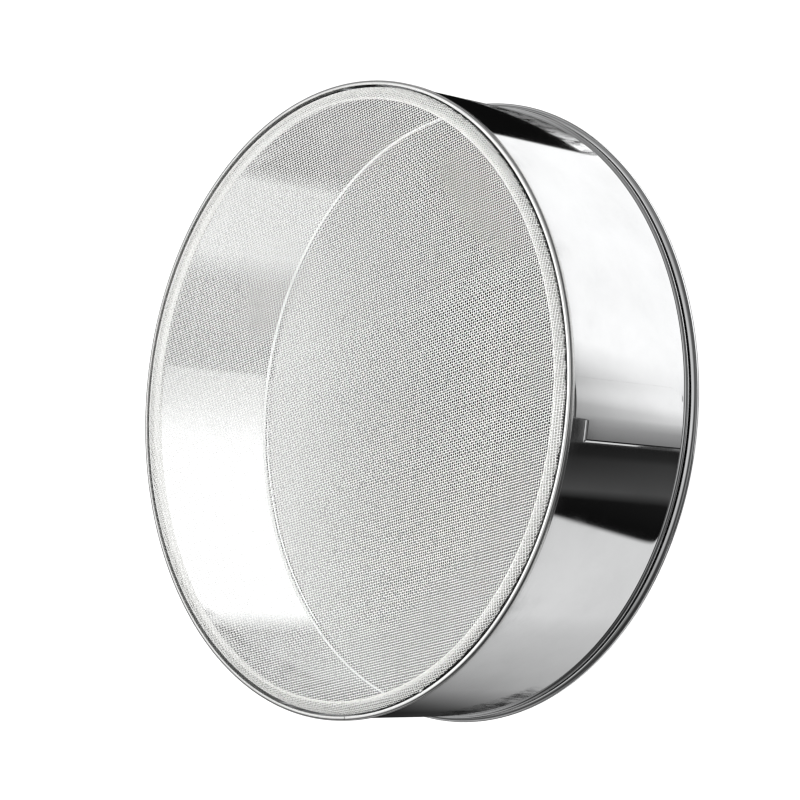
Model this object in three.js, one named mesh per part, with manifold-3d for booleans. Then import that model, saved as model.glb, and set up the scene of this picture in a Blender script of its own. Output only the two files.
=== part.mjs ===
// Round garden soil sieve, 300 mm class, resting with its mesh end up.
// Units are millimetres, +Z is up, the hoop axis is Z and the open rolled rim stands on z = 0.
import * as THREE from 'three';
import { mergeVertices } from 'three/addons/utils/BufferGeometryUtils.js';
import Module from 'manifold-3d';

// Driving dimensions
const STEPS = 72;                  // facets around every ring
const SHEET = 0.7;                 // hoop sheet thickness
const WALL_OUTER_R = 149.0;        // outside of the plain hoop wall
const WALL_TOP_Z = 82.0;           // top edge of the hoop, under the retaining ring
const SHOULDER_TOP_Z = 8.2;        // top of the rim's return fold, raised on the outside only
const SHOULDER_PROUD = 1.1;        // how far the return fold stands off the wall
const PLAIN_INSIDE_Z = 5.2;        // above this height the inside of the wall is plain
const BEAD_R = 2.4;                // outside radius of the rolled rim
const BEAD_CENTRE_R = 149.5;       // distance of the rolled rim from the hoop axis
const BEAD_FACETS = 12;            // facets around the rolled rim
const CORE_R = 1.35;               // wire inside the rolled rim

const LIP_TOP_Z = 83.0;            // face of the retaining ring
const LIP_OUTER_R = 150.0;
const LIP_INNER_R = 147.9;
const LIP_DEPTH = 2.8;             // outer leg of the retaining ring
const LIP_SHEET = 0.6;
const LIP_ROUND = 1.2;             // rolled outer edge of the retaining ring
const LIP_JOINT_DEG = -169.1;      // butt joint of the retaining ring
const LIP_JOINT_GAP = 0.4;

const MESH_TOP_Z = 85.0;           // upper face of the wire cloth
const CLOTH = 0.6;                 // two wires thick
const FOLD_R = 141.3;              // where the cloth turns down over the tension ring
const SKIRT_OUTER_R = 147.5;       // turned-down cloth
const SKIRT_BOTTOM_Z = 77.0;
const FIT_GAP = 0.35;              // clearance drawn between neighbouring pieces

const RING_SHEET = 0.8;            // tension ring sheet
const RING_LEG_BOTTOM_Z = 75.0;
const RING_INNER_LEG = 3.0;
const RING_JOINT_DEG = 91.0;       // butt joint of the tension ring
const RING_JOINT_GAP = 0.5;

const SEAM_DEG = -93.1;            // free edge of the outer leaf of the lap seam
const LAP_DEG = 3.8;               // overlap of the two leaves
const LAP_RUN_OUT_DEG = 7.0;       // length over which the outer leaf fades into the wall
const LAP_BOTTOM_Z = 8.6;
const LAP_TOP_Z = 71.4;            // the leaf's free corner is cut away above this height
const NOTCH_TOP_Z = 79.9;          // the rest of the leaf reaches up to just under the ring

const steel = (name, color, roughness) =>
  new THREE.MeshStandardMaterial({ name, color, roughness, metalness: 1 });
const polished = steel('polished_steel', 0xd9dbdc, 0.08);
const satin = steel('satin_steel', 0xc9cbcc, 0.3);
const wireSteel = steel('wire_steel', 0xbfc1c1, 0.35);

const rad = (deg) => (deg * Math.PI) / 180;
const v2 = (r, z) => new THREE.Vector2(r, z);

// Turns a closed outline of (radius, height) points about the hoop axis.
function turned(outline) {
  const closed = [...outline, outline[0]];
  if (THREE.ShapeUtils.area(outline) < 0) closed.reverse();
  const geometry = new THREE.LatheGeometry(closed, STEPS);
  geometry.rotateX(Math.PI / 2);
  return geometry;
}

// Points on an arc in the (radius, height) half plane.
function arc(r, z, radius, fromDeg, toDeg, count) {
  return Array.from({ length: count + 1 }, (_, i) => {
    const a = rad(fromDeg + ((toDeg - fromDeg) * i) / count);
    return v2(r + radius * Math.cos(a), z + radius * Math.sin(a));
  });
}

// Gives a centre line the thickness of a sheet and returns the closed outline.
function thickened(line, thickness) {
  const half = thickness / 2;
  const side = (sign) => line.map((p, i) => {
    const before = line[Math.max(i - 1, 0)];
    const after = line[Math.min(i + 1, line.length - 1)];
    const a = p.clone().sub(before).normalize();
    const b = after.clone().sub(p).normalize();
    const along = i === 0 ? b : i === line.length - 1 ? a : a.clone().add(b).normalize();
    const bend = i === 0 || i === line.length - 1 ? 1 : Math.max(0.6, along.dot(b));
    return v2(p.x - (sign * half * along.y) / bend, p.y + (sign * half * along.x) / bend);
  });
  return [...side(1), ...side(-1).reverse()];
}

let solidKernel = null;
async function kernel() {
  if (!solidKernel) {
    solidKernel = await Module();
    solidKernel.setup();
  }
  return solidKernel;
}

async function solid(geometry) {
  const wasm = await kernel();
  const bare = geometry.clone();
  bare.deleteAttribute('normal');
  bare.deleteAttribute('uv');
  const welded = mergeVertices(bare, 1e-4);
  return new wasm.Manifold(new wasm.Mesh({
    numProp: 3,
    vertProperties: new Float32Array(welded.attributes.position.array),
    triVerts: new Uint32Array(welded.index.array),
  }));
}

function geometryOf(manifold) {
  const mesh = manifold.getMesh();
  const geometry = new THREE.BufferGeometry();
  geometry.setAttribute('position', new THREE.BufferAttribute(mesh.vertProperties, 3));
  geometry.setIndex(new THREE.BufferAttribute(mesh.triVerts, 1));
  geometry.computeVertexNormals();
  return geometry;
}

// A narrow radial block that opens a ring at one place around the hoop.
function jointCutter(deg, gap, innerR, outerR, bottomZ, topZ) {
  const block = new THREE.BoxGeometry(outerR - innerR, gap, topZ - bottomZ);
  block.translate((outerR + innerR) / 2, 0, (topZ + bottomZ) / 2);
  block.rotateZ(rad(deg));
  return block;
}

// Centre line of the hoop sheet: wall, return fold, neck and the outward roll of the rim.
function hoopLine() {
  const wallR = WALL_OUTER_R - SHEET / 2;
  const ridgeR = wallR + SHOULDER_PROUD;
  const midR = BEAD_R - SHEET / 2;
  const turn = 360 / BEAD_FACETS;
  return [
    v2(wallR, WALL_TOP_Z),
    v2(wallR, SHOULDER_TOP_Z),
    v2(ridgeR - 0.15, SHOULDER_TOP_Z - 1.0),
    v2(ridgeR, SHOULDER_TOP_Z - 1.7),
    v2(ridgeR - 0.35, SHOULDER_TOP_Z - 2.5),
    v2(wallR - 0.6, SHOULDER_TOP_Z - 3.4),
    ...arc(BEAD_CENTRE_R, BEAD_R, midR / Math.cos(rad(turn / 2)), 180 - turn / 2, 450 - turn / 2, 9),
  ];
}

// The hoop's section: plain on the inside, with the return fold standing out on the outside.
function hoopSection() {
  const line = hoopLine();
  const wallInnerR = WALL_OUTER_R - SHEET;
  return thickened(line, SHEET).map((p, i) => {
    const onInside = i >= line.length && p.y > PLAIN_INSIDE_Z;
    return onInside ? v2(Math.min(p.x, wallInnerR), p.y) : p;
  });
}

// A band laid on the wall between two azimuths, its outside running from one radius to another.
function wallBand(fromDeg, toDeg, fromR, toR, topZ) {
  const steps = 4;
  const buried = WALL_OUTER_R - SHEET * 0.7;
  const at = (i, r) => {
    const a = rad(fromDeg + ((toDeg - fromDeg) * i) / steps);
    return [r * Math.cos(a), r * Math.sin(a)];
  };
  const band = new THREE.Shape();
  band.moveTo(...at(0, buried));
  for (let i = 0; i <= steps; i += 1) band.lineTo(...at(i, fromR + ((toR - fromR) * i) / steps));
  for (let i = steps; i >= 1; i -= 1) band.lineTo(...at(i, buried));
  const geometry = new THREE.ExtrudeGeometry(band, { depth: topZ - LAP_BOTTOM_Z, bevelEnabled: false });
  geometry.translate(0, 0, LAP_BOTTOM_Z);
  return geometry;
}

// The hoop with the outer leaf of its lap seam, notched at its free corner.
async function hoop() {
  const wall = await solid(turned(hoopSection()));
  const leafR = WALL_OUTER_R + SHEET;
  const flatEnd = SEAM_DEG + LAP_DEG;
  const runOut = flatEnd + LAP_RUN_OUT_DEG;
  const leaf = await solid(wallBand(SEAM_DEG, flatEnd + 0.05, leafR, leafR, LAP_TOP_Z));
  const fade = await solid(wallBand(flatEnd, runOut, leafR, WALL_OUTER_R - 0.05, NOTCH_TOP_Z));
  return geometryOf(wall.add(leaf).add(fade));
}

// Wire that stiffens the rolled rim.
function rimCoreWire() {
  return turned(arc(BEAD_CENTRE_R, BEAD_R, CORE_R, 0, 315, 7));
}

// Angle-section ring that caps the mesh end of the hoop.
async function retainingRing() {
  const legInner = LIP_OUTER_R - LIP_SHEET;
  const outline = [
    v2(LIP_INNER_R, LIP_TOP_Z - LIP_SHEET),
    v2(legInner, LIP_TOP_Z - LIP_SHEET),
    v2(legInner, LIP_TOP_Z - LIP_DEPTH),
    v2(LIP_OUTER_R, LIP_TOP_Z - LIP_DEPTH),
    ...arc(LIP_OUTER_R - LIP_ROUND, LIP_TOP_Z - LIP_ROUND, LIP_ROUND, 0, 90, 4),
    ...arc(LIP_INNER_R + 0.25, LIP_TOP_Z - 0.25, 0.25, 90, 180, 2),
  ];
  const ring = await solid(turned(outline));
  const cut = jointCutter(LIP_JOINT_DEG, LIP_JOINT_GAP, 140, 160, 70, 90);
  return geometryOf(ring.subtract(await solid(cut)));
}

// Curve of the cloth over the tension ring, offset inward from its upper face.
function shoulderCurve(inset) {
  const points = [[0, 0], [1.4, 0.22], [2.9, 0.75], [4.2, 1.6], [5.3, 2.8], [5.95, 4.2]];
  const raw = points.map(([dr, dz]) => v2(FOLD_R + dr, MESH_TOP_Z - dz));
  raw.push(v2(SKIRT_OUTER_R, MESH_TOP_Z - 6));
  return raw.map((p, i) => {
    const before = raw[Math.max(i - 1, 0)];
    const after = raw[Math.min(i + 1, raw.length - 1)];
    let along = after.clone().sub(before).normalize();
    if (i === 0) along = v2(1, 0);
    if (i === raw.length - 1) along = v2(0, -1);
    return v2(p.x + inset * along.y, p.y - inset * along.x);
  });
}

// Channel-section ring inside the hoop that stretches the cloth.
async function tensionRing() {
  const outside = shoulderCurve(CLOTH + FIT_GAP);
  const inside = shoulderCurve(CLOTH + FIT_GAP + RING_SHEET);
  const outerR = outside[outside.length - 1].x;
  const innerR = FOLD_R - 0.2;
  const outline = [
    ...outside,
    v2(outerR, RING_LEG_BOTTOM_Z),
    v2(outerR - RING_SHEET, RING_LEG_BOTTOM_Z),
    ...inside.slice(1).reverse(),
    v2(innerR + RING_SHEET, inside[0].y - 0.3),
    v2(innerR + RING_SHEET, inside[0].y - RING_INNER_LEG),
    v2(innerR, inside[0].y - RING_INNER_LEG),
    v2(innerR, outside[0].y - 0.4),
  ];
  const ring = await solid(turned(outline));
  const cut = jointCutter(RING_JOINT_DEG, RING_JOINT_GAP, 130, 160, 60, 90);
  return geometryOf(ring.subtract(await solid(cut)));
}

// Woven wire cloth: flat disc, shoulder over the tension ring and turned-down skirt.
function meshCloth() {
  const top = shoulderCurve(0);
  const under = shoulderCurve(CLOTH);
  const outline = [
    v2(0, MESH_TOP_Z - CLOTH),
    ...under,
    v2(SKIRT_OUTER_R - CLOTH, SKIRT_BOTTOM_Z),
    v2(SKIRT_OUTER_R, SKIRT_BOTTOM_Z),
    ...top.reverse(),
    v2(0, MESH_TOP_Z),
  ];
  const geometry = new THREE.LatheGeometry(outline, STEPS);
  geometry.rotateX(Math.PI / 2);
  return geometry;
}

function part(name, geometry, material) {
  const mesh = new THREE.Mesh(geometry, material);
  mesh.name = name;
  return mesh;
}

const sieve = new THREE.Group();
sieve.name = 'soil_sieve';
sieve.add(
  part('hoop', await hoop(), polished),
  part('rim_core_wire', rimCoreWire(), satin),
  part('retaining_ring', await retainingRing(), polished),
  part('tension_ring', await tensionRing(), satin),
  part('mesh_cloth', meshCloth(), wireSteel),
);

export default sieve;
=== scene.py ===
"""Soil sieve: polished hoop, rolled rim and woven wire cloth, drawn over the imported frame."""
import math

import bpy
import numpy as np
from mathutils import Matrix, Vector


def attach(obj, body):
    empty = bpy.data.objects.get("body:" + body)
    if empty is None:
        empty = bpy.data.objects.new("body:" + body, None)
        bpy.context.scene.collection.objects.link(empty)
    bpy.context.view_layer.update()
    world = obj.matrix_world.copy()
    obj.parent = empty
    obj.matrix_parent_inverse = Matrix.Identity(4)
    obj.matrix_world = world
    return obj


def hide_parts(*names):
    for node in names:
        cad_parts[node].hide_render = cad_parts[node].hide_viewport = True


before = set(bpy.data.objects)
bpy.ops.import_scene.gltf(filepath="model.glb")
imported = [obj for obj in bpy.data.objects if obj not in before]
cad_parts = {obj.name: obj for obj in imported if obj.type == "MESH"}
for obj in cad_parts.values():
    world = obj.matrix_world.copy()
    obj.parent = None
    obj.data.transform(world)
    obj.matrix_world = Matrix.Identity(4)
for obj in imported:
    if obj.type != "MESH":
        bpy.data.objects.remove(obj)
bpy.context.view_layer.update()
scene = bpy.context.scene
MM = 0.001

# Sizes in millimetres. Where the CAD model has the same size, the number is the same; the bends,
# the rounded edges and the joints are drawn finer here
SHEET = 0.7
WALL_R = 149.0
WALL_TOP_Z = 82.0
PLAIN_WALL_Z = 30
FOLD_START_Z = 8.6
FOLD_PROUD = 1.1
BEAD_R = 2.4
BEAD_CENTRE_R = 149.5
CORE_R = 1.35
ROLL_POINTS = 40
ROLL_END_DEG = 434
LIP_TOP_Z = 83.0
LIP_OUTER_R = 150.0
LIP_INNER_R = 147.9
LIP_DEPTH = 2.8
LIP_SHEET = 0.6
LIP_ROUND = 1.2
LIP_FOOT_ROUND = 0.25
LIP_INNER_ROUND = 0.28
LIP_JOINT_DEG = -169.1
LIP_JOINT_HALF_DEG = 0.08
TACK_DEG = -148.7
TACK_R = 147.5
TACK_HALF_LONG = 1.5
TACK_HALF_WIDE = 0.8
TACK_HALF_HIGH = 0.55
TACK_BELOW_TOP = 0.1
MESH_TOP_Z = 85.0
CLOTH_FOLD_R = 141.3
TENSION_INSET = 0.95
TENSION_SHEET = 0.8
TENSION_LEG = 3.0
TENSION_BOTTOM_Z = 75.0
TENSION_JOINT_DEG = 91.0
TENSION_JOINT_HALF_DEG = 0.1
SEAM_DEG = -93.1
LAP_DEG = 3.8
LAP_FADE_DEG = 7.0
LAP_TOP_Z = 71.4
NOTCH_TOP_Z = 79.9
LAP_BOTTOM_Z = 8.6
BURIED = 0.2

# Wire cloth: directions the two sets of wires run in, their spacing across each set, and where the
# skirt's wires are painted near-black as shade in the gap beside the front ring
WIRE_R = 0.146
WIRE_CORNERS = 4
WIRE_WIDE = 1.08
WIRE_HIGH = 0.96
WIRE_DRIFT = 0.035
SET_A_DEG = 0.7
SET_B_DEG = 107.8
PITCH_A = 1.206
PITCH_B = 1.164
GAP_R = 146.2
GAP_Z = 82.75
GAP_SHADE_NARROWS = 1.1


# ---------------------------------------------------------------- outlines and meshes

def arc(centre, radius, start, end, count):
    """Points on an arc in the (radius, height) half plane, in degrees."""
    a = np.radians(np.linspace(start, end, count))
    return np.c_[centre[0] + radius * np.cos(a), centre[1] + radius * np.sin(a)]


def rounded(points, passes):
    """Cuts a polyline's corners so that it bends smoothly; its ends stay."""
    p = np.asarray(points, float)
    for _ in range(passes):
        q = 0.75 * p[:-1] + 0.25 * p[1:]
        r = 0.25 * p[:-1] + 0.75 * p[1:]
        p = np.r_[p[:1], np.c_[q, r].reshape(-1, 2), p[-1:]]
    return p


def sides(line, half):
    """The line moved by half to either side."""
    d = np.gradient(line, axis=0)
    d /= np.linalg.norm(d, axis=1)[:, None]
    n = np.c_[-d[:, 1], d[:, 0]]
    return line + half * n, line - half * n


def counter_clockwise(outline):
    """The outline, turned round if it runs clockwise, so that faces point outward."""
    x, y = outline.T
    area = np.dot(x, np.roll(y, -1)) - np.dot(y, np.roll(x, -1))
    return outline if area > 0 else outline[::-1]


def make_mesh(name, verts, faces, uv=None, sharp_deg=35):
    """A smooth mesh whose edges are sharp above the angle; uv holds one pair for each vertex."""
    mesh = bpy.data.meshes.new(name)
    mesh.from_pydata([tuple(v) for v in verts], [], faces)
    if uv is not None:
        layer = mesh.uv_layers.new(name="across_along")
        loops = np.empty(len(mesh.loops), np.int64)
        mesh.loops.foreach_get("vertex_index", loops)
        layer.data.foreach_set("uv", np.asarray(uv, np.float32)[loops].ravel())
    mesh.shade_smooth()
    mesh.set_sharp_from_angle(angle=math.radians(sharp_deg))
    mesh.update()
    obj = bpy.data.objects.new(name, mesh)
    scene.collection.objects.link(obj)
    return obj


def turned(name, outline, steps=720, start=None, end=None):
    """Turns a closed outline about the hoop axis, all the way round or from start to end."""
    outline = counter_clockwise(np.asarray(outline, float))
    full = start is None
    az = np.radians(np.linspace(0, 360, steps, endpoint=False) if full else np.linspace(start, end, steps))
    n, m = len(az), len(outline)
    r, z = outline.T
    verts = np.empty((n, m, 3))
    verts[..., 0] = np.cos(az)[:, None] * r * MM
    verts[..., 1] = np.sin(az)[:, None] * r * MM
    verts[..., 2] = z * MM
    i = np.arange(n if full else n - 1)[:, None]
    j = np.arange(m)[None, :]
    i2, j2 = (i + 1) % n, (j + 1) % m
    corners = np.broadcast_arrays(i * m + j, i2 * m + j, i2 * m + j2, i * m + j2)
    faces = np.stack(corners, -1).reshape(-1, 4).tolist()
    if not full:
        faces.append(list(range(m)))
        faces.append([(n - 1) * m + k for k in range(m - 1, -1, -1)])
    uv = np.empty((n, m, 2))
    around = np.cumsum(np.r_[0, np.linalg.norm(np.diff(outline, axis=0), axis=1)])
    uv[..., 0] = (az * WALL_R * MM)[:, None]
    uv[..., 1] = (around * MM)[None, :]
    return make_mesh(name, verts.reshape(-1, 3), faces, uv.reshape(-1, 2))


# ---------------------------------------------------------------- camera

CAMERA_AT = Vector((0.0, -0.8386, 0.8110))
LOOK = Vector((0.00194, 0.73732, -0.67554))
ROLL_DEG = -84.15
LENS_MM = 106.5
SENSOR_MM = 36

camera = bpy.data.objects.new("camera", bpy.data.cameras.new("camera"))
scene.collection.objects.link(camera)
camera.data.lens = LENS_MM
camera.data.sensor_width = SENSOR_MM
camera.data.clip_start, camera.data.clip_end = 0.01, 50
aim = LOOK.to_track_quat("-Z", "Y").to_matrix().to_4x4() @ Matrix.Rotation(math.radians(ROLL_DEG), 4, "Z")
camera.matrix_world = Matrix.Translation(CAMERA_AT) @ aim
scene.camera = camera


# ---------------------------------------------------------------- materials

class Nodes:
    """Short names for building a node tree."""

    def __init__(self, name):
        self.material = bpy.data.materials.new(name)
        self.material.use_nodes = True
        self.tree = self.material.node_tree
        self.shader = self.tree.nodes["Principled BSDF"]

    def add(self, kind, inputs=(), **settings):
        node = self.tree.nodes.new(kind)
        for key, value in settings.items():
            setattr(node, key, value)
        for key, value in dict(inputs).items():
            self.put(node.inputs[key], value)
        return node

    def put(self, socket, value):
        if isinstance(value, bpy.types.NodeSocket):
            self.tree.links.new(value, socket)
        else:
            socket.default_value = value

    def set(self, **values):
        for key, value in values.items():
            self.put(self.shader.inputs[key.replace("_", " ")], value)

    def stretched(self, across, along):
        """UV in metres, scaled across the width and along the run of the piece."""
        uv = self.add("ShaderNodeUVMap", uv_map="across_along")
        made = {"Vector": uv.outputs["UV"], "Scale": (along, across, 1)}
        return self.add("ShaderNodeMapping", made).outputs[0]

    def position(self, scale):
        at = self.add("ShaderNodeTexCoord").outputs["Object"]
        return self.add("ShaderNodeMapping", {"Vector": at, "Scale": (scale,) * 3}).outputs[0]

    def noise(self, vector, scale=1.0, detail=3.0, rough=0.5):
        made = {"Vector": vector, "Scale": scale, "Detail": detail, "Roughness": rough}
        return self.add("ShaderNodeTexNoise", made).outputs["Fac"]

    def ramp(self, value, low, high, out_low, out_high):
        made = {"Value": value, "From Min": low, "From Max": high, "To Min": out_low, "To Max": out_high}
        return self.add("ShaderNodeMapRange", made).outputs[0]

    def mix(self, share, a, b):
        node = self.add("ShaderNodeMix", data_type="RGBA")
        for socket, value in zip((node.inputs[0], node.inputs[6], node.inputs[7]), (share, a, b)):
            self.put(socket, value)
        return node.outputs[2]

    def bump(self, height, strength, distance, normal=None):
        made = {"Height": height, "Strength": strength, "Distance": distance}
        if normal is not None:
            made["Normal"] = normal
        return self.add("ShaderNodeBump", made).outputs["Normal"]


def polished_steel(name, light, dark, gloss, wave=0.00002):
    """Mirror-polished sheet: fine lines round the hoop, handling marks and a slight waviness."""
    n = Nodes(name)
    lines = n.noise(n.stretched(2600.0, 9.0), detail=4.0, rough=0.65)
    marks = n.noise(n.position(28.0), detail=5.0, rough=0.6)
    swell = n.noise(n.position(9.0), detail=1.0)
    tint = n.mix(n.ramp(marks, 0.35, 0.7, 0.0, 1.0), (*light, 1), (*dark, 1))
    grain = n.ramp(lines, 0.3, 0.75, gloss, gloss * 2.0)
    handled = n.ramp(marks, 0.55, 0.75, 0.0, 0.05)
    rough = n.add("ShaderNodeMath", {0: grain, 1: handled}, operation="ADD")
    normal = n.bump(swell, 0.35, wave)
    normal = n.bump(lines, 0.05, 0.000004, normal)
    n.set(Base_Color=tint, Metallic=1.0, Roughness=rough.outputs[0], Normal=normal)
    return n.material


def drawn_wire(name, colour, metal):
    """Drawn wire: small dull patches and draw marks under one plain colour."""
    n = Nodes(name)
    patches = n.noise(n.position(900.0), detail=2.0)
    n.set(Base_Color=(*colour, 1), Metallic=metal, Roughness=n.ramp(patches, 0.3, 0.7, 0.22, 0.42))
    n.set(Normal=n.bump(patches, 0.25, 0.00002))
    return n.material


def satin_steel(name, light, dark):
    """Brushed sheet: lines along the run and faint marks."""
    n = Nodes(name)
    lines = n.noise(n.stretched(1800.0, 14.0), detail=4.0)
    marks = n.noise(n.position(45.0), detail=4.0)
    tint = n.mix(n.ramp(marks, 0.3, 0.7, 0.0, 1.0), (*light, 1), (*dark, 1))
    n.set(Base_Color=tint, Metallic=1.0, Roughness=n.ramp(lines, 0.3, 0.7, 0.16, 0.34))
    n.set(Normal=n.bump(lines, 0.2, 0.00001))
    return n.material


WALL_STEEL = polished_steel("polished_wall", (0.93, 0.935, 0.94), (0.86, 0.865, 0.87), 0.035)
RING_STEEL = polished_steel("polished_ring", (0.93, 0.93, 0.925), (0.80, 0.80, 0.79), 0.16)
TENSION_STEEL = satin_steel("satin_ring", (0.93, 0.93, 0.91), (0.84, 0.84, 0.82))
WIRE_STEEL = drawn_wire("bright_wire", (0.92, 0.92, 0.905), 0.3)
# Painted shade: near-black wires for the skirt where it stands in the gap beside the front ring
PAINTED_GAP_SHADE = drawn_wire("wire_painted_gap_shade", (0.03, 0.03, 0.029), 0.9)
CORE_STEEL = satin_steel("core_wire", (0.62, 0.62, 0.62), (0.50, 0.50, 0.50))


def finish(obj, material, slot, *nodes):
    """Gives a piece its material, unless it has its own, its body and CAD nodes; slot is not used."""
    if material is not None:
        obj.data.materials.append(material)
    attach(obj, "root")
    if nodes:
        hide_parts(*nodes)


# ---------------------------------------------------------------- hoop

def hoop_line():
    """Middle of the hoop's sheet: wall, return fold, neck and the outward roll of the rim."""
    wall = WALL_R - SHEET / 2
    start, ridge = FOLD_START_Z, wall + FOLD_PROUD
    neck = BEAD_CENTRE_R - BEAD_R + SHEET / 2
    fold = [(wall, PLAIN_WALL_Z), (wall, start), (wall + 0.15, start - 0.6), (ridge, start - 1.4),
            (ridge, start - 2.6), (wall + 0.2, start - 3.4), (wall - 0.9, start - 4.0), (neck, start - 5.2)]
    roll = arc((BEAD_CENTRE_R, BEAD_R), BEAD_R - SHEET / 2, 180, ROLL_END_DEG, ROLL_POINTS)
    return np.r_[[(wall, WALL_TOP_Z)], rounded([*fold, tuple(roll[0])], 3), roll[1:]]


def hoop_outline():
    """The hoop's section: plain on the inside, with the return fold of the rim raised on the outside."""
    line = hoop_line()
    outer, inner = sides(line, SHEET / 2)
    above_roll = np.arange(len(line)) <= len(line) - ROLL_POINTS
    inner[above_roll, 0] = np.minimum(inner[above_roll, 0], WALL_R - SHEET)
    return np.r_[outer, inner[::-1]]


def grid_piece(name, az_deg, z, r):
    """A skin over a patch of the wall; z and r hold one row for each azimuth."""
    a = np.radians(az_deg)[:, None]
    n, m = r.shape
    verts = np.stack([r * np.cos(a), r * np.sin(a), z], -1) * MM
    i, j = np.arange(n - 1)[:, None], np.arange(m - 1)[None, :]
    faces = np.stack(np.broadcast_arrays(i * m + j, i * m + j + 1, (i + 1) * m + j + 1, (i + 1) * m + j), -1)
    uv = np.stack([np.broadcast_to(a * WALL_R * MM, r.shape), z * MM], -1)
    return make_mesh(name, verts.reshape(-1, 3), faces.reshape(-1, 4).tolist(), uv.reshape(-1, 2))


def lap_leaf():
    """The outer leaf of the lap seam, its free edge welded down and its corner cut away by the ring."""
    flat_end = SEAM_DEG + LAP_DEG
    run_end = flat_end + LAP_FADE_DEG
    per_mm = math.degrees(1 / WALL_R)
    edge_mm = np.array([0, 0.06, 0.12, 0.2, 0.45, 0.7, 0.87, 1.0, 1.15])
    az = np.r_[SEAM_DEG + edge_mm * per_mm, np.linspace(SEAM_DEG + 0.6, flat_end - 0.25, 10),
               np.linspace(flat_end - 0.2, flat_end + 0.2, 12), np.linspace(flat_end + 0.3, run_end, 26)]
    from_edge = (az - SEAM_DEG) / per_mm
    lift = np.interp(from_edge, [0, 0.12, 0.87, 1.15], [0, 0.3, SHEET - 0.02, SHEET])
    fall = np.clip((az - flat_end) / (run_end - flat_end), 0, 1)
    lift *= 1 - fall ** 3 * (10 - 15 * fall + 6 * fall * fall)
    rise = np.clip((az - flat_end + 0.2) / 0.4, 0, 1)
    top = LAP_TOP_Z + (NOTCH_TOP_Z - LAP_TOP_Z) * rise * rise * (3 - 2 * rise)
    down = np.r_[0, 0.05, 0.15, 0.3, 0.5, np.linspace(1.5, 60, 30), 61.5, 62.2, 62.6]
    z = top[:, None] - down[None, :] * ((top - LAP_BOTTOM_Z) / down[-1])[:, None]
    end = np.sqrt(1 - (1 - np.clip((top[:, None] - z) / 0.5, 0, 1)) ** 2)
    r = WALL_R + lift[:, None] * end
    r[:, 0] = WALL_R - BURIED
    r[:, -1] = WALL_R - BURIED
    return grid_piece("lap_leaf", az, z, r)


finish(turned("hoop_sheet", hoop_outline()), WALL_STEEL, "hoop_steel", "hoop")
finish(lap_leaf(), WALL_STEEL, "hoop_steel")
core_section = arc((BEAD_CENTRE_R, BEAD_R), CORE_R, 0, 345, 24)
finish(turned("core_wire", core_section, 360), CORE_STEEL, "core_wire", "rim_core_wire")


# ---------------------------------------------------------------- rings

def retaining_outline():
    """Section of the front ring: an angle with a rounded outer edge."""
    leg, top = LIP_OUTER_R - LIP_SHEET, LIP_TOP_Z
    return np.r_[
        [(LIP_INNER_R, top - LIP_SHEET), (leg, top - LIP_SHEET), (leg, top - LIP_DEPTH)],
        arc((LIP_OUTER_R - LIP_FOOT_ROUND, top - LIP_DEPTH + LIP_FOOT_ROUND), LIP_FOOT_ROUND, 270, 360, 5),
        arc((LIP_OUTER_R - LIP_ROUND, top - LIP_ROUND), LIP_ROUND, 0, 90, 18),
        arc((LIP_INNER_R + LIP_INNER_ROUND, top - LIP_INNER_ROUND), LIP_INNER_ROUND, 90, 180, 7),
    ]


def shoulder(inset):
    """The cloth's path over the tension ring: fold, rounded shoulder and skirt, moved inward by inset."""
    drops = [(0, 0), (1.4, 0.22), (2.9, 0.75), (4.2, 1.6), (5.3, 2.8), (5.95, 4.2), (6.2, 6.0), (6.2, 8.0)]
    line = rounded([(CLOTH_FOLD_R + dr, MESH_TOP_Z - dz) for dr, dz in drops], 3)
    return sides(line, inset)[1] if inset else line


def tension_outline():
    """Section of the ring under the cloth: its outside follows the cloth, its inner edge is turned down."""
    outer, inner = shoulder(TENSION_INSET), shoulder(TENSION_INSET + TENSION_SHEET)
    leg_r, leg_top = CLOTH_FOLD_R + 0.6, inner[0, 1]
    low_r = outer[-1, 0]
    foot = [(low_r, TENSION_BOTTOM_Z), (low_r - TENSION_SHEET, TENSION_BOTTOM_Z)]
    leg_foot = leg_top - TENSION_LEG
    leg = [(leg_r, leg_top - 0.6), (leg_r, leg_foot), (leg_r - TENSION_SHEET, leg_foot)]
    bend = arc((leg_r, outer[0, 1] - TENSION_SHEET), TENSION_SHEET, 180, 90, 6)
    return np.r_[outer, foot, inner[1:][::-1], leg, bend]


def split_ring(name, outline, steps, joint_deg, half_gap_deg):
    """A ring turned from the outline, open by a hairline at its joint."""
    return turned(name, outline, steps, joint_deg + half_gap_deg, joint_deg + 360 - half_gap_deg)


retaining = split_ring("front_ring", retaining_outline(), 720, LIP_JOINT_DEG, LIP_JOINT_HALF_DEG)
finish(retaining, RING_STEEL, "ring_steel", "retaining_ring")
tension = split_ring("stretch_ring", tension_outline(), 540, TENSION_JOINT_DEG, TENSION_JOINT_HALF_DEG)
finish(tension, TENSION_STEEL, "tension_steel", "tension_ring")


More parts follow.
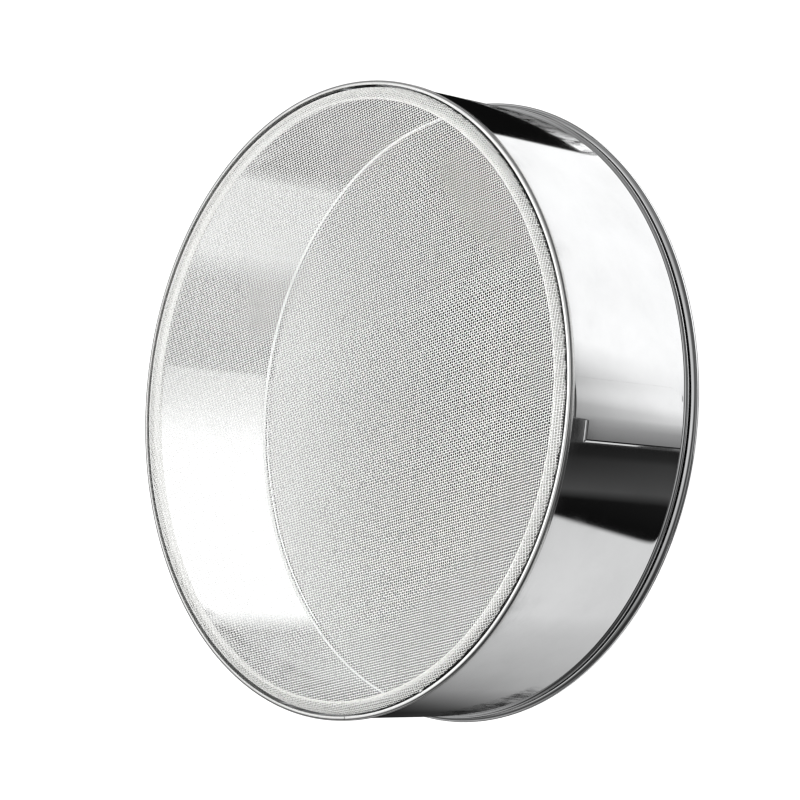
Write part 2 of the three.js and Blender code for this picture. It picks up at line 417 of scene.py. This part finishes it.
def tack_weld(rows=9, cols=16):
    """A small bead of weld between the ring's inner edge and the cloth."""
    noise = np.random.default_rng(5).normal(0, 0.07, (rows, cols))
    lat = np.linspace(-90, 90, rows)[:, None]
    lon = np.linspace(0, 360, cols, endpoint=False)[None, :]
    lat, lon = np.radians(lat), np.radians(lon)
    size = 1 + noise * np.cos(lat)
    along = TACK_HALF_LONG * size * np.cos(lat) * np.cos(lon)
    outward = TACK_HALF_WIDE * size * np.cos(lat) * np.sin(lon) + TACK_R
    up = TACK_HALF_HIGH * np.sin(lat) + 0 * lon + LIP_TOP_Z - TACK_BELOW_TOP
    a = math.radians(TACK_DEG)
    x = outward * math.cos(a) - along * math.sin(a)
    y = outward * math.sin(a) + along * math.cos(a)
    verts = np.stack([x, y, up], -1).reshape(-1, 3) * MM
    faces = [(i * cols + j, i * cols + (j + 1) % cols, (i + 1) * cols + (j + 1) % cols, (i + 1) * cols + j)
             for i in range(rows - 1) for j in range(cols)]
    uv = np.stack([along, outward], -1).reshape(-1, 2) * MM
    return make_mesh("tack_weld", verts, faces, uv, 80)


finish(tack_weld(), RING_STEEL, "ring_steel")


# ---------------------------------------------------------------- woven wire cloth

def over_the_ring(x, y, lift):
    """Lays flat cloth points over the shoulder; lift is the height above the cloth's middle."""
    middle = shoulder(WIRE_R * 2)
    run = np.r_[0, np.cumsum(np.linalg.norm(np.diff(middle, axis=0), axis=1))]
    slope = np.gradient(middle, axis=0)
    slope /= np.linalg.norm(slope, axis=1)[:, None]
    rho = np.hypot(x, y)
    s = np.clip(rho - CLOTH_FOLD_R, 0, run[-1])
    r = np.where(rho > CLOTH_FOLD_R, np.interp(s, run, middle[:, 0]), rho)
    z = np.interp(s, run, middle[:, 1])
    nr, nz = -np.interp(s, run, slope[:, 1]), np.interp(s, run, slope[:, 0])
    r, z = r + np.where(rho > CLOTH_FOLD_R, nr * lift, 0), z + np.where(rho > CLOTH_FOLD_R, nz, 1) * lift
    k = r / np.maximum(rho, 1e-9)
    return np.stack([x * k, y * k, z], -1)


def reach():
    """Radius of the flat disc that the cloth is cut from."""
    middle = shoulder(WIRE_R * 2)
    return CLOTH_FOLD_R + np.linalg.norm(np.diff(middle, axis=0), axis=1).sum()


def row_offsets(pitch, seed):
    """Row numbers of one set of wires and each row's place across the set, slightly uneven."""
    edge = reach()
    rows = np.arange(-int(edge / pitch), int(edge / pitch) + 1)
    drift = np.cumsum(np.random.default_rng(seed).normal(0, WIRE_DRIFT, len(rows)))
    drift -= np.linspace(drift[0], drift[-1], len(rows))
    return rows, (rows + drift) * pitch


def wire_rings(row, offset, deg, other_deg, pitch, other_pitch, sign):
    """One wire's corner points at each crossing, going over and under the other set in turn."""
    along = np.array([math.cos(math.radians(deg)), math.sin(math.radians(deg))])
    across = np.array([-along[1], along[0]])
    turn = math.radians(other_deg - deg)
    step = other_pitch / abs(math.sin(turn))
    shift = pitch / math.tan(turn)
    half = math.sqrt(reach() ** 2 - offset ** 2)
    cols = np.arange(math.ceil((-half - row * shift) / step), math.floor((half - row * shift) / step) + 1)
    run = cols * step + row * shift
    lift = sign * WIRE_R * np.where((cols + row) % 2 == 0, 1.0, -1.0)
    x = run * along[0] + offset * across[0]
    y = run * along[1] + offset * across[1]
    rings = []
    for k in range(WIRE_CORNERS):
        a = 2 * math.pi * k / WIRE_CORNERS
        side, up = WIRE_WIDE * WIRE_R * math.cos(a), WIRE_HIGH * WIRE_R * math.sin(a)
        rings.append(over_the_ring(x + side * across[0], y + side * across[1], lift + up))
    return np.stack(rings, 1)


def tube_faces(count, base):
    """Quads round one wire, from each ring of corner points to the next."""
    i, k = np.arange(count - 1)[:, None], np.arange(WIRE_CORNERS)[None, :]
    k2 = (k + 1) % WIRE_CORNERS
    here, beyond = i * WIRE_CORNERS, (i + 1) * WIRE_CORNERS
    corners = np.broadcast_arrays(here + k, beyond + k, beyond + k2, here + k2)
    return np.stack(corners, -1).reshape(-1, 4) + base


def in_the_gap(verts, faces):
    """Faces of the skirt in the gap beside the front ring, painted near-black as shade; the painted band
    narrows towards the back (+y).
    """
    middle = verts[faces].mean(1)
    r = np.hypot(middle[:, 0], middle[:, 1])
    near = np.clip((-middle[:, 1] / r - 0.1) / 0.6, 0, 1)
    return (r > GAP_R + GAP_SHADE_NARROWS * (1 - near)) & (middle[:, 2] < GAP_Z)


def wires(name, deg, other_deg, pitch, other_pitch, sign, share, shares):
    """One share of a set of parallel wires, each passing over and under the other set's wires."""
    rows, offsets = row_offsets(pitch, 7 + sign)
    verts, faces, base = [], [], 0
    for i in range(share * len(rows) // shares, (share + 1) * len(rows) // shares):
        if abs(offsets[i]) >= reach() - 0.5:
            continue
        rings = wire_rings(rows[i], offsets[i], deg, other_deg, pitch, other_pitch, sign)
        if len(rings) < 3:
            continue
        verts.append(rings.reshape(-1, 3))
        faces.append(tube_faces(len(rings), base))
        base += len(rings) * WIRE_CORNERS
    return wire_mesh(name, np.concatenate(verts), np.concatenate(faces))


def wire_mesh(name, verts, faces):
    """One mesh for many wires, painted near-black as shade where they stand in the gap."""
    mesh = bpy.data.meshes.new(name)
    mesh.vertices.add(len(verts))
    mesh.vertices.foreach_set("co", (verts * MM).astype(np.float32).ravel())
    mesh.loops.add(faces.size)
    mesh.loops.foreach_set("vertex_index", faces.astype(np.int32).ravel())
    mesh.polygons.add(len(faces))
    mesh.polygons.foreach_set("loop_start", np.arange(0, faces.size, 4, dtype=np.int32))
    mesh.update(calc_edges=True)
    mesh.shade_smooth()
    mesh.materials.append(WIRE_STEEL)
    mesh.materials.append(PAINTED_GAP_SHADE)
    mesh.polygons.foreach_set("material_index", in_the_gap(verts, faces).astype(np.int32))
    obj = bpy.data.objects.new(name, mesh)
    scene.collection.objects.link(obj)
    return obj


SHARES = 3
for share in range(SHARES):
    a = wires(f"wires_a{share + 1}", SET_A_DEG, SET_B_DEG, PITCH_A, PITCH_B, 1, share, SHARES)
    b = wires(f"wires_b{share + 1}", SET_B_DEG, SET_A_DEG + 180, PITCH_B, PITCH_A, -1, share, SHARES)
    finish(a, None, "wire_cloth", "mesh_cloth")
    finish(b, None, "wire_cloth", "mesh_cloth")


# ---------------------------------------------------------------- studio
# Reflection boards lie below the floor and only mirrors see them.  Each one is laid out from a
# list of stops across the wall: (azimuth at the wall's top, azimuth at its foot, grey at the top,
# grey at the foot); a stop's line on the wall is followed through the mirror down to the board.
# The ground, the under board and the notch card lie 2 to 10 mm off the two boards' plane.

BOARD_Z = -0.3
BOARD_TOP_Z = 82.0
BOARD_FOOT_Z = 3.0
GROUND_R = 1.45
DOME_R = 1.5
DOME_LOW_DEG = -12
UNDER_BOARD_R = 0.14
INNER_FILL_R = 0.135
INNER_FILL_Z = 0.072
NOTCH_CARD_TOP_Z = 84
UNDERSIDE_R = 0.1494
UNDERSIDE_Z = -0.0001
UNDER_BOARD_GLOW = 0.42
INNER_FILL_GLOW = 0.85
NOTCH_CARD_GLOW = 0.03
FLOOR_HALF = 6.0
FLOOR_Z = -0.0003
FLOOR_GLOW = 0.56
WORLD_GLOW = 1.02
AIM_AT = Vector((0, 0, 0.04))
OUTER_STOPS = [
    (-2, -2, 18, 18), (-33.3, -33.8, 20, 20), (-33.9, -34.4, 252, 252), (-76, -80, 254, 254),
    (-79, -84, 225, 245), (-84, -87, 165, 225), (-88, -88.5, 155, 215), (-90.5, -90.5, 130, 150),
    (-92.8, -92.8, 100, 120),
    (-93.3, -93.3, 30, 35), (-95, -95, 35, 45), (-96, -96, 45, 60), (-101, -101, 70, 75),
    (-102.5, -103, 22, 30), (-105.2, -110.0, 19, 19), (-105.9, -110.8, 205, 210),
    (-125, -125, 215, 205), (-130, -130, 190, 190), (-140, -140, 165, 175), (-147, -147, 130, 170),
    (-155, -155, 60, 130), (-160, -160, 35, 75), (-178, -178, 30, 55),
]
INNER_STOPS = [
    (4, 4, 25, 25), (40, 40, 40, 40), (45, 45, 195, 165), (62, 62, 210, 182),
    (68, 68, 120, 120), (82, 82, 100, 100), (86.5, 86.5, 120, 120), (87.2, 87.2, 185, 185),
    (94, 94, 215, 215), (100, 100, 258, 258), (106, 106, 282, 282), (139, 139, 282, 282),
    (142, 142, 215, 215), (145, 145, 130, 130), (160, 160, 140, 140), (176, 176, 60, 60),
]


def glow(grey):
    """Emission that mirror-polished steel shows as this grey, 0 to 255."""
    return (grey / 255) ** 2.2 / 0.92


def through_mirror(az_deg, z_mm, wall_r, depth):
    """Where the camera's view of a point on the wall lands on a level plane after the reflection."""
    a = math.radians(az_deg)
    n = Vector((math.cos(a), math.sin(a), 0))
    p = Vector((wall_r * n.x, wall_r * n.y, z_mm)) * MM
    d = (p - CAMERA_AT).normalized()
    d -= 2 * d.dot(n) * n
    return p + d * ((depth - p.z) / d.z)


def glowing(name, attribute=None, strength=1.0):
    """Emission of one strength, or read from a piece's own attribute."""
    material = bpy.data.materials.new(name)
    material.use_nodes = True
    nodes, links = material.node_tree.nodes, material.node_tree.links
    nodes.clear()
    out = nodes.new("ShaderNodeOutputMaterial")
    emission = nodes.new("ShaderNodeEmission")
    emission.inputs["Strength"].default_value = strength
    if attribute:
        tone = nodes.new("ShaderNodeAttribute")
        tone.attribute_name = attribute
        links.new(tone.outputs["Fac"], emission.inputs["Strength"])
    links.new(emission.outputs[0], out.inputs[0])
    return material


def stage_mesh(name, verts, faces, material, tones=None):
    """A piece of the studio, left out of the exported object."""
    mesh = bpy.data.meshes.new(name)
    mesh.from_pydata([tuple(v) for v in verts], [], faces)
    if tones is not None:
        mesh.attributes.new("tone", "FLOAT", "POINT").data.foreach_set("value", tones)
    mesh.materials.append(material)
    obj = bpy.data.objects.new(name, mesh)
    scene.collection.objects.link(obj)
    return obj


def mirrors_only(obj):
    """Leaves a piece of the studio visible to reflections alone."""
    obj.visible_camera = False
    obj.visible_diffuse = False
    obj.visible_shadow = False
    obj.visible_transmission = False
    return obj


def board(name, stops, wall_r, rows=14):
    """A light board whose reflection in the wall follows the stops."""
    columns = []
    for s0, s1 in zip(stops[:-1], stops[1:]):
        parts = max(1, int(abs(s1[0] - s0[0]) / 1.5))
        for k in range(parts):
            columns.append([a + (b - a) * k / parts for a, b in zip(s0, s1)])
    columns.append(stops[-1])
    verts, tones = [], []
    for az_top, az_foot, grey_top, grey_foot in columns:
        for j in range(rows):
            t = j / (rows - 1)
            z = BOARD_TOP_Z + (BOARD_FOOT_Z - BOARD_TOP_Z) * t
            verts.append(through_mirror(az_top + (az_foot - az_top) * t, z, wall_r, BOARD_Z))
            tones.append(glow(grey_top + (grey_foot - grey_top) * t))
    faces = [(i * rows + j, (i + 1) * rows + j, (i + 1) * rows + j + 1, i * rows + j + 1)
             for i in range(len(columns) - 1) for j in range(rows - 1)]
    return mirrors_only(stage_mesh(name, verts, faces, glowing(name, "tone"), tones))


def disc(name, radius, z, material, tone=None, rings=24, spokes=96):
    """A level disc, lit by a tone of x and y if one is given."""
    verts = [(0, 0, z)]
    for i in range(1, rings + 1):
        for k in range(spokes):
            a = 2 * math.pi * k / spokes
            verts.append((radius * i / rings * math.cos(a), radius * i / rings * math.sin(a), z))
    faces = [(0, 1 + k, 1 + (k + 1) % spokes) for k in range(spokes)]
    for i in range(rings - 1):
        for k in range(spokes):
            a, b = 1 + i * spokes + k, 1 + i * spokes + (k + 1) % spokes
            faces.append((a, a + spokes, b + spokes, b))
    return stage_mesh(name, verts, faces, material, None if tone is None else [tone(*v[:2]) for v in verts])


LOW_PANELS = [(40, 0.42, 5), (150, 0.34, 7), (-95, 0.20, 9), (-20, 0.12, 12)]


def low_lights(az):
    """Broad soft panels low in the room; each has a direction, a brightness and a narrowness."""
    return sum(tone * max(0.0, math.cos(az - math.radians(at))) ** power for at, tone, power in LOW_PANELS)


def far_board(x, y):
    """The ground far below: dark near the hoop, with the low panels' light further out."""
    far = float(np.interp(math.hypot(x, y), [0.62, 0.95], [0, 1]))
    return 0.06 + far * low_lights(math.atan2(y, x))


def room_tone(az, el):
    """Brightness of the room in one direction: a bright back, a dark front and a dark low side."""
    sides = [
        (max(0, -math.sin(az)), [-12, 10, 28, 38, 50, 65, 90], [0.02, 0.03, 0.06, 0.35, 0.7, 0.7, 0.6]),
        (max(0, math.sin(az)), [-12, 15, 30, 36, 42, 48, 60, 90],
         [0.03, 0.10, 0.26, 0.45, 1.1, 1.8, 1.7, 0.6]),
        (max(0, -math.cos(az)), [-12, 15, 45, 60, 90], [0.02, 0.03, 0.08, 0.25, 0.6]),
        (max(0, math.cos(az)), [-12, 10, 25, 60, 90], [0.05, 0.15, 0.35, 0.45, 0.6]),
    ]
    total = sum(w for w, _, _ in sides)
    room = sum(w * float(np.interp(el, at, tone)) for w, at, tone in sides) / total
    return room + low_lights(az) * float(np.interp(el, [-2, 14], [1, 0]))


def dome(name, radius, spokes=96, rings=52):
    """The room round the object, reaching a little below the horizon."""
    verts, tones = [], []
    for i in range(rings + 1):
        el = DOME_LOW_DEG + (90 - DOME_LOW_DEG) * i / rings
        level_r, z = radius * math.cos(math.radians(el)), radius * math.sin(math.radians(el))
        for k in range(spokes):
            az = 2 * math.pi * k / spokes
            verts.append((level_r * math.cos(az), level_r * math.sin(az), z))
            tones.append(room_tone(az, el))
    faces = []
    for i in range(rings):
        for k in range(spokes):
            a, b = i * spokes + k, i * spokes + (k + 1) % spokes
            faces.append((a, b, b + spokes, a + spokes))
    return mirrors_only(stage_mesh(name, verts, faces, glowing(name, "tone"), tones))


def notch_card(side=8):
    """A small dark card that the cut-away corner of the seam mirrors."""
    az = np.linspace(SEAM_DEG + 0.1, SEAM_DEG + LAP_DEG, side)
    z = np.linspace(LAP_TOP_Z, NOTCH_CARD_TOP_Z, side)
    verts = [through_mirror(a, h, WALL_R, BOARD_Z + 0.002) for a in az for h in z]
    corners = [i * side + j for i in range(side - 1) for j in range(side - 1)]
    faces = [(c, c + side, c + side + 1, c + 1) for c in corners]
    dim = glowing("notch_card", strength=NOTCH_CARD_GLOW)
    return mirrors_only(stage_mesh("notch_card", verts, faces, dim))


def underside_painted_shade(x, y):
    """Painted shade and painted light for the floor seen through the cloth: black near the front, light at
    the far wall.
    """
    tone = np.interp(y, [-0.05, 0.025, 0.064, 0.105, 0.127, 0.147], [0.005, 0.03, 0.10, 0.26, 0.36, 0.40])
    return float(tone * np.interp(x, [0.02, 0.12], [1.0, 0.35]) + np.interp(x, [-0.13, 0.0], [0.13, 0.0]))


def pale_floor():
    """A matt floor that glows a little, so that it comes out almost white."""
    n = Nodes("pale_floor")
    n.set(Base_Color=(0.5, 0.5, 0.5, 1), Roughness=0.9)
    n.set(Emission_Color=(1, 1, 1, 1), Emission_Strength=FLOOR_GLOW)
    n.shader.inputs["Specular IOR Level"].default_value = 0.0
    return n.material


def soft_lamp(name, place, diameter, energy):
    """A round area light aimed at the middle of the sieve."""
    lamp = bpy.data.objects.new(name, bpy.data.lights.new(name, "AREA"))
    lamp.data.shape, lamp.data.size = "DISK", diameter
    lamp.data.energy = energy
    lamp.location = place
    lamp.rotation_euler = (AIM_AT - lamp.location).to_track_quat("-Z", "Y").to_euler()
    scene.collection.objects.link(lamp)
    return lamp


# Mirrors do not see the floor, so their view goes on to the boards below it
floor_corners = [(x * FLOOR_HALF, y * FLOOR_HALF, FLOOR_Z) for x, y in ((-1, -1), (1, -1), (1, 1), (-1, 1))]
floor = stage_mesh("floor", floor_corners, [(0, 1, 2, 3)], pale_floor())
floor.visible_glossy = False
# A glowing disc on the floor inside the hoop that only the camera sees: painted shade, black at the front,
# and painted light towards the far wall and the -x side
inside = disc("painted_underside_disc", UNDERSIDE_R, UNDERSIDE_Z, glowing("painted_underside_disc", "tone"), underside_painted_shade)
inside.visible_glossy = False
inside.visible_diffuse = False
inside.visible_shadow = False
board("outer_board", OUTER_STOPS, WALL_R)
board("inner_board", INNER_STOPS, WALL_R - SHEET)
mirrors_only(disc("base_board", GROUND_R, BOARD_Z - 0.01, glowing("base_board", "tone"), far_board))
under_glow = glowing("under_board", strength=UNDER_BOARD_GLOW)
mirrors_only(disc("under_board", UNDER_BOARD_R, BOARD_Z + 0.004, under_glow, rings=2))
dome("reflection_dome", DOME_R)
fill_glow = glowing("inner_fill", strength=INNER_FILL_GLOW)
mirrors_only(disc("inner_fill", INNER_FILL_R, INNER_FILL_Z, fill_glow, rings=2))
notch_card()

scene.world = bpy.data.worlds.new("studio")
scene.world.use_nodes = True
back = scene.world.node_tree.nodes["Background"]
back.inputs["Color"].default_value = (1, 1, 1, 1)
back.inputs["Strength"].default_value = WORLD_GLOW

soft_lamp("soft_light", Vector((-0.5, 0.3, 1.9)), diameter=1.6, energy=6)
front = soft_lamp("front_light", CAMERA_AT * 1.12, diameter=0.5, energy=11)
front.visible_glossy = False

scene.cycles.filter_width = 1.25
scene.view_settings.view_transform = "Standard"
scene.view_settings.look = "None"
